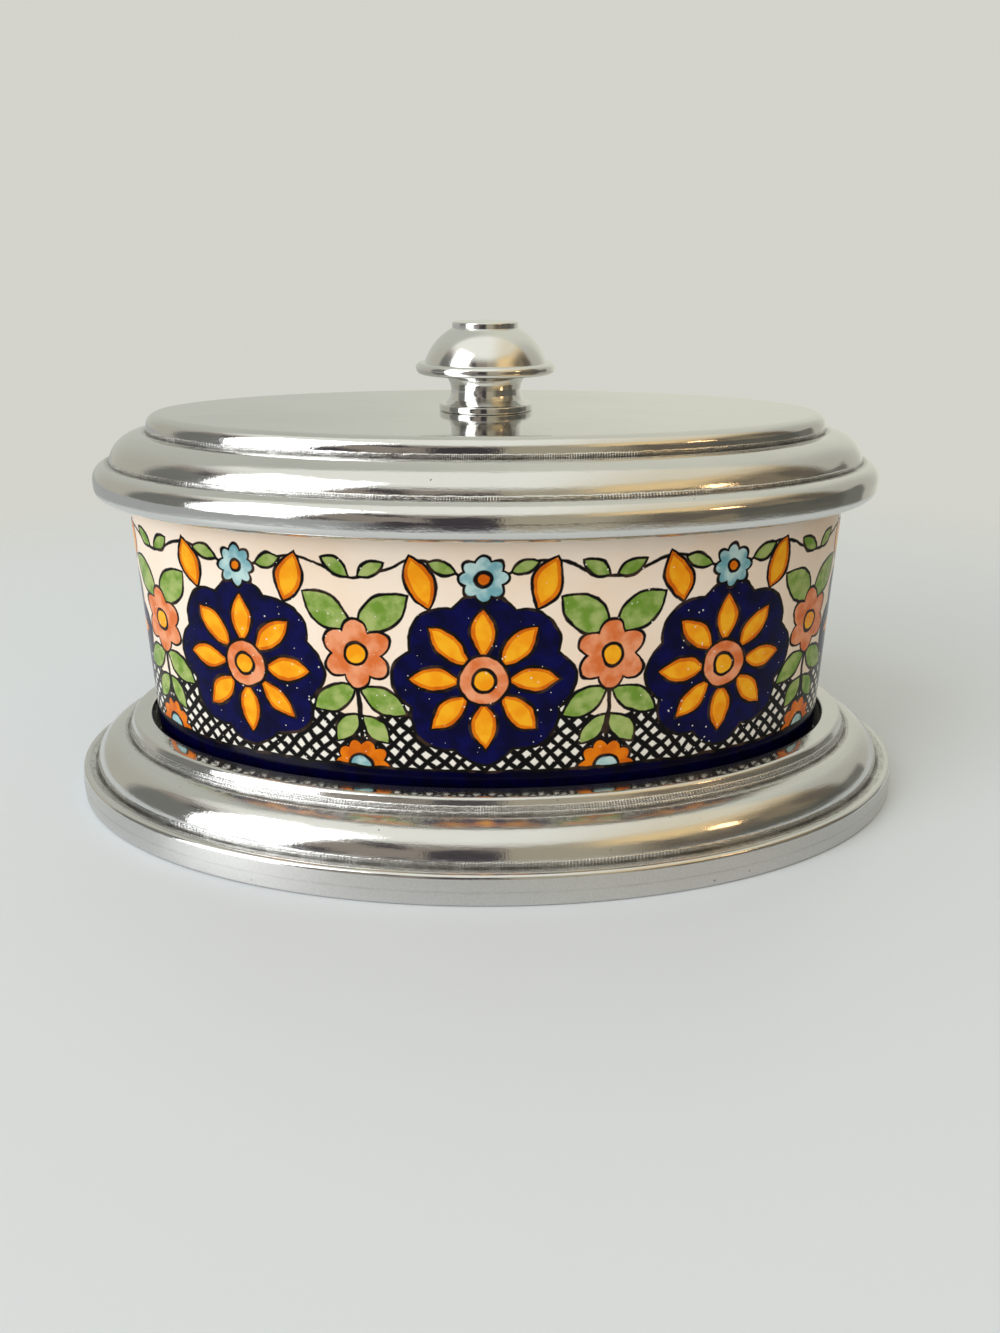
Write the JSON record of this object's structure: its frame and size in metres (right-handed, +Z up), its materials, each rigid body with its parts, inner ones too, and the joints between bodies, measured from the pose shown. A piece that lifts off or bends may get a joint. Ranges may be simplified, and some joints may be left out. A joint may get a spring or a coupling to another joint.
{
  "type": "oval covered keeper",
  "caption": "Oval covered keeper: glazed ceramic bowl standing loosely in a stepped cast aluminium stand, under a lift-off stepped cast aluminium lid with a turned knob.",
  "frame": {"origin": "on the table, under the middle of the stand", "axes": "+X along the oval's length, +Y across it towards the back, +Z up"},
  "size_m": [0.25, 0.1658, 0.1337],
  "materials": {
    "cast_aluminium": "buffed cast, dark in the creases",
    "turned_aluminium": "turned and polished",
    "painted_glaze": "hand-painted under clear gloss glaze",
    "fixing_steel": "zinc plated"
  },
  "bodies": {
    "stand": {"stand": "cast_aluminium"},
    "bowl": {"bowl": "painted_glaze"},
    "lid": {"lid": "cast_aluminium", "knob": "turned_aluminium", "knob_washer": "fixing_steel", "knob_screw": "fixing_steel"}
  },
  "joints": [
    {"name": "bowl_lift", "type": "slide", "parent": "stand", "child": "bowl", "axis": [0, 0, 1], "range_m": [0, 0.1]},
    {"name": "lid_lift", "type": "slide", "parent": "bowl", "child": "lid", "axis": [0, 0, 1], "range_m": [0, 0.12]}
  ]
}
